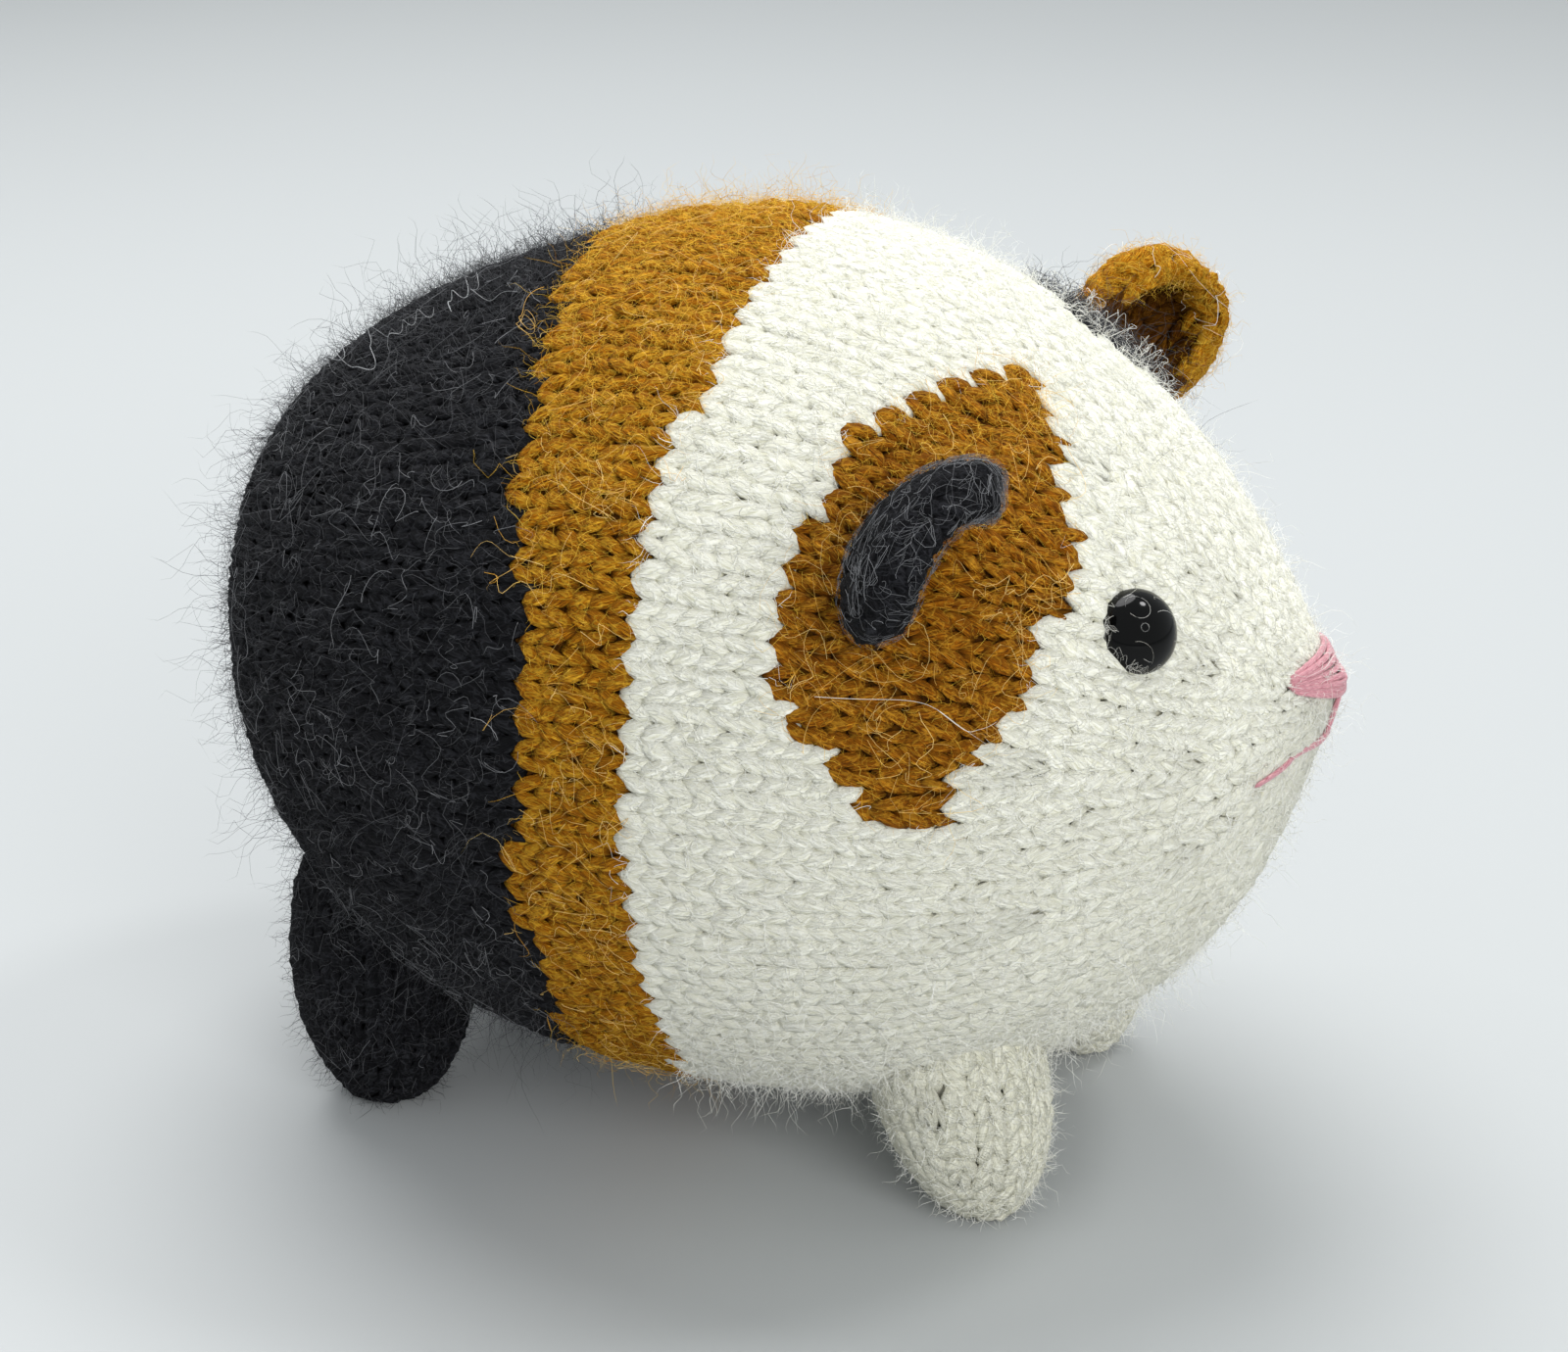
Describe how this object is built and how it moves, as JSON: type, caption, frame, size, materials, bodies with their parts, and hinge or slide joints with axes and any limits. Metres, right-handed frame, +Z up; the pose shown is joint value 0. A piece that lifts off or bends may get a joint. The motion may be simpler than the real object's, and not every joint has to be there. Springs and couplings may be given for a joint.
{
  "type": "knitted toy guinea pig",
  "caption": "Hand-knitted stuffed guinea pig toy in charcoal, mustard and white wool, with domed black eyes, cupped ears and an embroidered pink nose",
  "frame": {"origin": "on the floor under the middle of the toy's length and width", "axes": "+X towards the nose, +Y towards the toy's left, +Z up"},
  "size_m": [0.1516, 0.118, 0.1242],
  "materials": {
    "charcoal_wool": "fuzzy charcoal wool yarn in stocking stitch",
    "mustard_wool": "fuzzy mustard wool yarn in stocking stitch",
    "white_wool": "fuzzy off-white wool yarn in stocking stitch",
    "eye_plastic": "polished black domed safety eye",
    "nose_thread": "pink embroidery thread in satin stitch"
  },
  "bodies": {
    "root": {"rump": "charcoal_wool", "waist_band": "mustard_wool", "shoulders": "white_wool", "head": "white_wool", "rear_leg_right": "charcoal_wool", "rear_leg_left": "charcoal_wool", "front_leg_right": "white_wool", "front_leg_left": "white_wool", "ear_right": "charcoal_wool", "ear_left": "mustard_wool", "eye_right": "eye_plastic", "eye_left": "eye_plastic", "nose": "nose_thread", "mouth_upright": "nose_thread", "mouth_smile": "nose_thread"}
  },
  "joints": []
}
